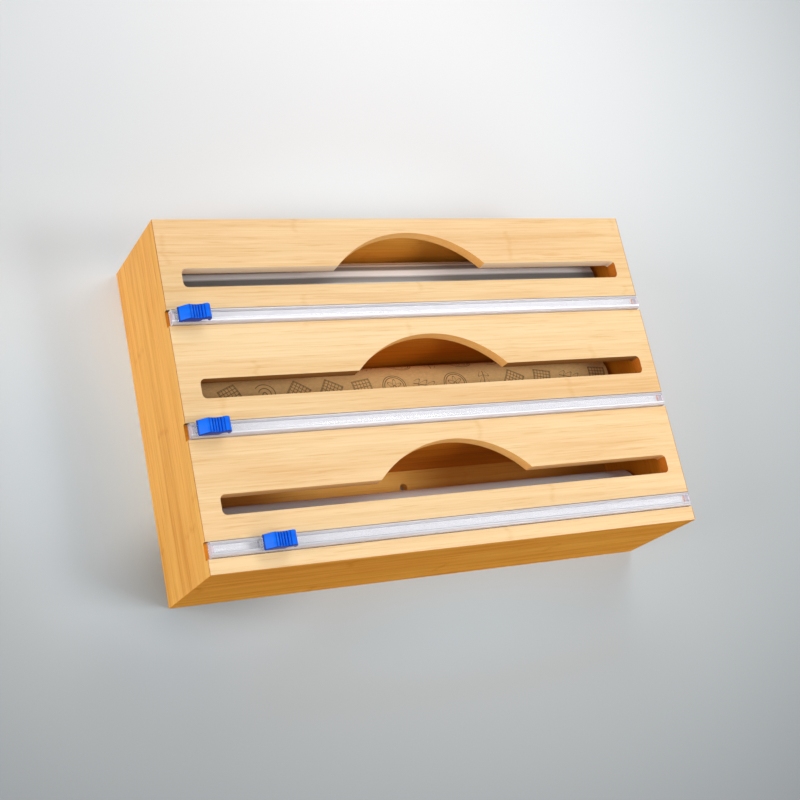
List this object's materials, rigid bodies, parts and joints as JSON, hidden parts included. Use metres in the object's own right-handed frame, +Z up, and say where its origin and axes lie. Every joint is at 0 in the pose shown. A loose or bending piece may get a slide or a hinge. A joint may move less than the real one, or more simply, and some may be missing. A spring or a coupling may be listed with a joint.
{
  "type": "foil dispenser",
  "caption": "Flat bamboo kitchen wrap dispenser with a hinged, slotted lid, thumb arches, clear rails with blue slide cutters, and rolls of foil, kraft paper and film inside.",
  "frame": {"origin": "middle of the base's underside", "axes": "+X along the rolls, +Y to the hinged rear wall, +Z up to the lid"},
  "size_m": [0.33, 0.2185, 0.0905],
  "materials": {
    "bamboo": "satin lacquered bamboo",
    "clear_plastic": "clear extruded plastic",
    "blue_plastic": "moulded satin plastic",
    "steel": "ground steel",
    "brass": "plated",
    "magnet": "nickel plated",
    "foil": "bright rolled foil",
    "kraft_paper": "brown paper with a line print",
    "film": "wound cling film",
    "card": "spiral wound card",
    "tape": "foam adhesive tape"
  },
  "bodies": {
    "case": {"base_panel": "bamboo", "left_wall": "bamboo", "right_wall": "bamboo", "front_wall": "bamboo", "rear_wall": "bamboo", "front_divider": "bamboo", "rear_divider": "bamboo", "left_case_leaf": "brass", "right_case_leaf": "brass", "left_hinge_pin": "steel", "right_hinge_pin": "steel", "case_hinge_screws": "brass", "case_magnets": "magnet"},
    "lid": {"lid_panel": "bamboo", "foil_rail": "clear_plastic", "paper_rail": "clear_plastic", "film_rail": "clear_plastic", "foil_rail_tape": "tape", "paper_rail_tape": "tape", "film_rail_tape": "tape", "foil_rail_stops": "clear_plastic", "paper_rail_stops": "clear_plastic", "film_rail_stops": "clear_plastic", "left_lid_leaf": "brass", "right_lid_leaf": "brass", "lid_hinge_screws": "brass", "lid_magnets": "magnet"},
    "foil_slider": {"foil_grip": "blue_plastic", "foil_runner": "clear_plastic", "foil_blade": "steel"},
    "paper_slider": {"paper_grip": "blue_plastic", "paper_runner": "clear_plastic", "paper_blade": "steel"},
    "film_slider": {"film_grip": "blue_plastic", "film_runner": "clear_plastic", "film_blade": "steel"},
    "foil_roll": {"foil_roll": "foil", "foil_core": "card"},
    "paper_roll": {"paper_roll": "kraft_paper", "paper_core": "card"},
    "film_roll": {"film_roll": "film", "film_core": "card"}
  },
  "joints": [
    {"name": "lid_hinge", "type": "hinge", "parent": "case", "child": "lid", "pos_m": [0, 0.1094, 0.071], "axis": [-1, 0, 0], "range_deg": [0, 180]},
    {"name": "foil_slide", "type": "slide", "parent": "lid", "child": "foil_slider", "axis": [1, 0, 0], "range_m": [0, 0.3034]},
    {"name": "paper_slide", "type": "slide", "parent": "lid", "child": "paper_slider", "axis": [1, 0, 0], "range_m": [0, 0.3034]},
    {"name": "film_slide", "type": "slide", "parent": "lid", "child": "film_slider", "axis": [1, 0, 0], "range_m": [-0.027, 0.2764]},
    {"name": "foil_spin", "type": "hinge", "parent": "case", "child": "foil_roll", "pos_m": [0, 0.071, 0.0313], "axis": [1, 0, 0], "continuous": true},
    {"name": "paper_spin", "type": "hinge", "parent": "case", "child": "paper_roll", "pos_m": [0, 0.0074, 0.0248], "axis": [1, 0, 0], "continuous": true},
    {"name": "film_spin", "type": "hinge", "parent": "case", "child": "film_roll", "pos_m": [0, -0.076, 0.0258], "axis": [1, 0, 0], "continuous": true}
  ]
}
